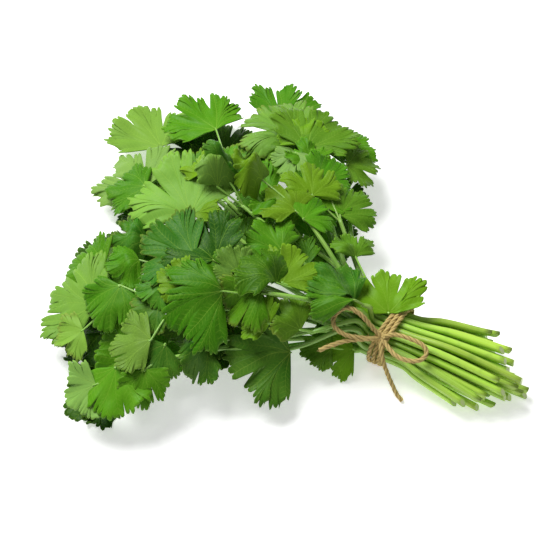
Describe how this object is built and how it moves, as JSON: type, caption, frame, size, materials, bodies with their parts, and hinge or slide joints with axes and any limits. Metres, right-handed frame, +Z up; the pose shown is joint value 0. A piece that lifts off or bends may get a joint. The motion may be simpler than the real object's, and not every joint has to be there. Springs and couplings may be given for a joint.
{
  "type": "tied bunch of fresh herb",
  "caption": "Bunch of fresh leafy herb stems with toothed, lobed leaflets, tied round the stalks with a twine bow and lying on its side.",
  "frame": {"origin": "on the surface that the bunch lies on, under the tie, at the middle of the twine's flat spot", "axes": "+Z up from the surface, +X along the bunch towards its cut ends, so that the leafy head is towards -X"},
  "size_m": [0.2946, 0.2662, 0.0772],
  "materials": {
    "leaf_dark": "soft leaf, slightly glossy on top",
    "leaf_mid": "soft leaf, slightly glossy on top",
    "leaf_blue": "soft leaf, slightly glossy on top",
    "leaf_pale": "soft leaf, slightly glossy on top",
    "leaf_yellow": "soft leaf, slightly glossy on top",
    "leaf_olive": "soft leaf, slightly glossy on top",
    "jute_twine": "rough twisted jute"
  },
  "bodies": {
    "root": {"leafy_stem_01": "leaf_dark", "leafy_stem_02": "leaf_dark", "leafy_stem_03": "leaf_dark", "leafy_stem_04": "leaf_dark", "leafy_stem_05": "leaf_dark", "leafy_stem_06": "leaf_dark", "leafy_stem_07": "leaf_dark", "leafy_stem_08": "leaf_dark", "leafy_stem_09": "leaf_dark", "leafy_stem_10": "leaf_dark", "leafy_stem_11": "leaf_mid", "leafy_stem_12": "leaf_mid", "leafy_stem_13": "leaf_mid", "leafy_stem_14": "leaf_yellow", "leafy_stem_15": "leaf_pale", "leafy_stem_16": "leaf_mid", "leafy_stem_17": "leaf_pale", "leafy_stem_18": "leaf_mid", "leafy_stem_19": "leaf_olive", "leafy_stem_20": "leaf_mid", "leafy_stem_21": "leaf_blue", "leafy_stem_22": "leaf_mid", "leafy_stem_23": "leaf_pale", "leafy_stem_24": "leaf_mid", "leafy_stem_25": "leaf_olive", "leafy_stem_26": "leaf_blue", "leafy_stem_27": "leaf_blue", "leafy_stem_28": "leaf_yellow", "leafy_stem_29": "leaf_mid", "leafy_stem_30": "leaf_mid", "leafy_stem_31": "leaf_mid", "leafy_stem_32": "leaf_dark", "leafy_stem_33": "leaf_yellow", "leafy_stem_34": "leaf_pale", "leafy_stem_35": "leaf_yellow", "leafy_stem_36": "leaf_mid", "leafy_stem_37": "leaf_mid", "leafy_stem_38": "leaf_yellow", "leafy_stem_39": "leaf_blue", "twine_tie": "jute_twine"}
  },
  "joints": []
}
